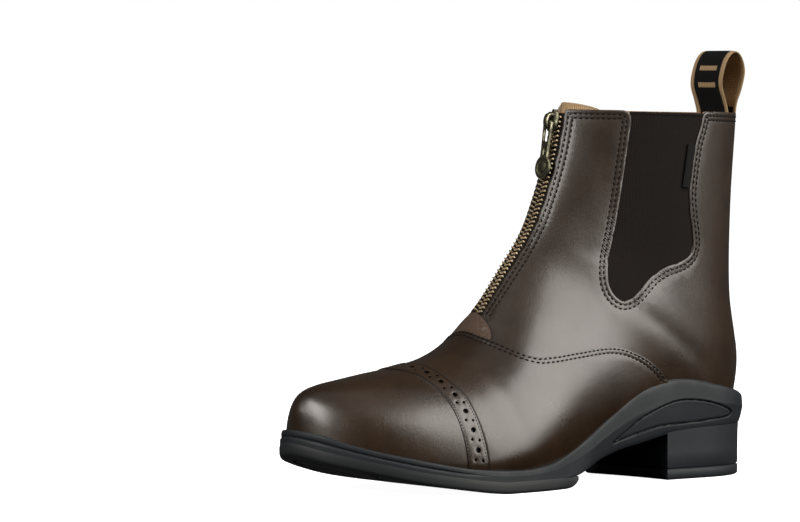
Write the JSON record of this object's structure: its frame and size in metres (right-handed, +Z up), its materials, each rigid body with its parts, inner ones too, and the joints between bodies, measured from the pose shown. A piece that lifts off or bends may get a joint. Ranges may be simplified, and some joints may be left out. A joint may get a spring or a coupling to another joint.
{
  "type": "paddock boot",
  "caption": "Brown leather ankle riding boot with a front zip, elastic side gores, punched toe cap, heeled rubber sole and webbing pull loop.",
  "frame": {"origin": "on the floor, under the middle of the boot's box on plan", "axes": "+Z up, -Y towards the toe, +X towards the outer (lateral) side of this left boot"},
  "size_m": [0.0968, 0.2789, 0.2199],
  "materials": {
    "brown_leather": "smooth, waxed, satin gloss",
    "elastic": "ribbed elastic",
    "rubber": "moulded, matte",
    "webbing": "woven",
    "zip_cloth": "woven tape",
    "antique_brass": "aged, satin",
    "insole_cloth": "tan twill lining",
    "label_cloth": "woven satin label"
  },
  "bodies": {
    "boot": {"outsole": "rubber", "upper": "brown_leather", "gore_lateral": "elastic", "gore_medial": "elastic", "toe_cap": "brown_leather", "vamp": "brown_leather", "throat_tab": "brown_leather", "back_strip": "brown_leather", "zip_tape": "zip_cloth", "zip_chain": "antique_brass", "zip_slider": "antique_brass", "pull_loop": "webbing", "label_tag": "label_cloth", "insole": "insole_cloth"},
    "pull": {"zip_pull": "antique_brass"}
  },
  "joints": [
    {"name": "zip_pull_swing", "type": "hinge", "parent": "boot", "child": "pull", "pos_m": [-0.002, 0.0175, 0.18307], "axis": [-1, 0, 0], "range_deg": [0, 150]}
  ]
}
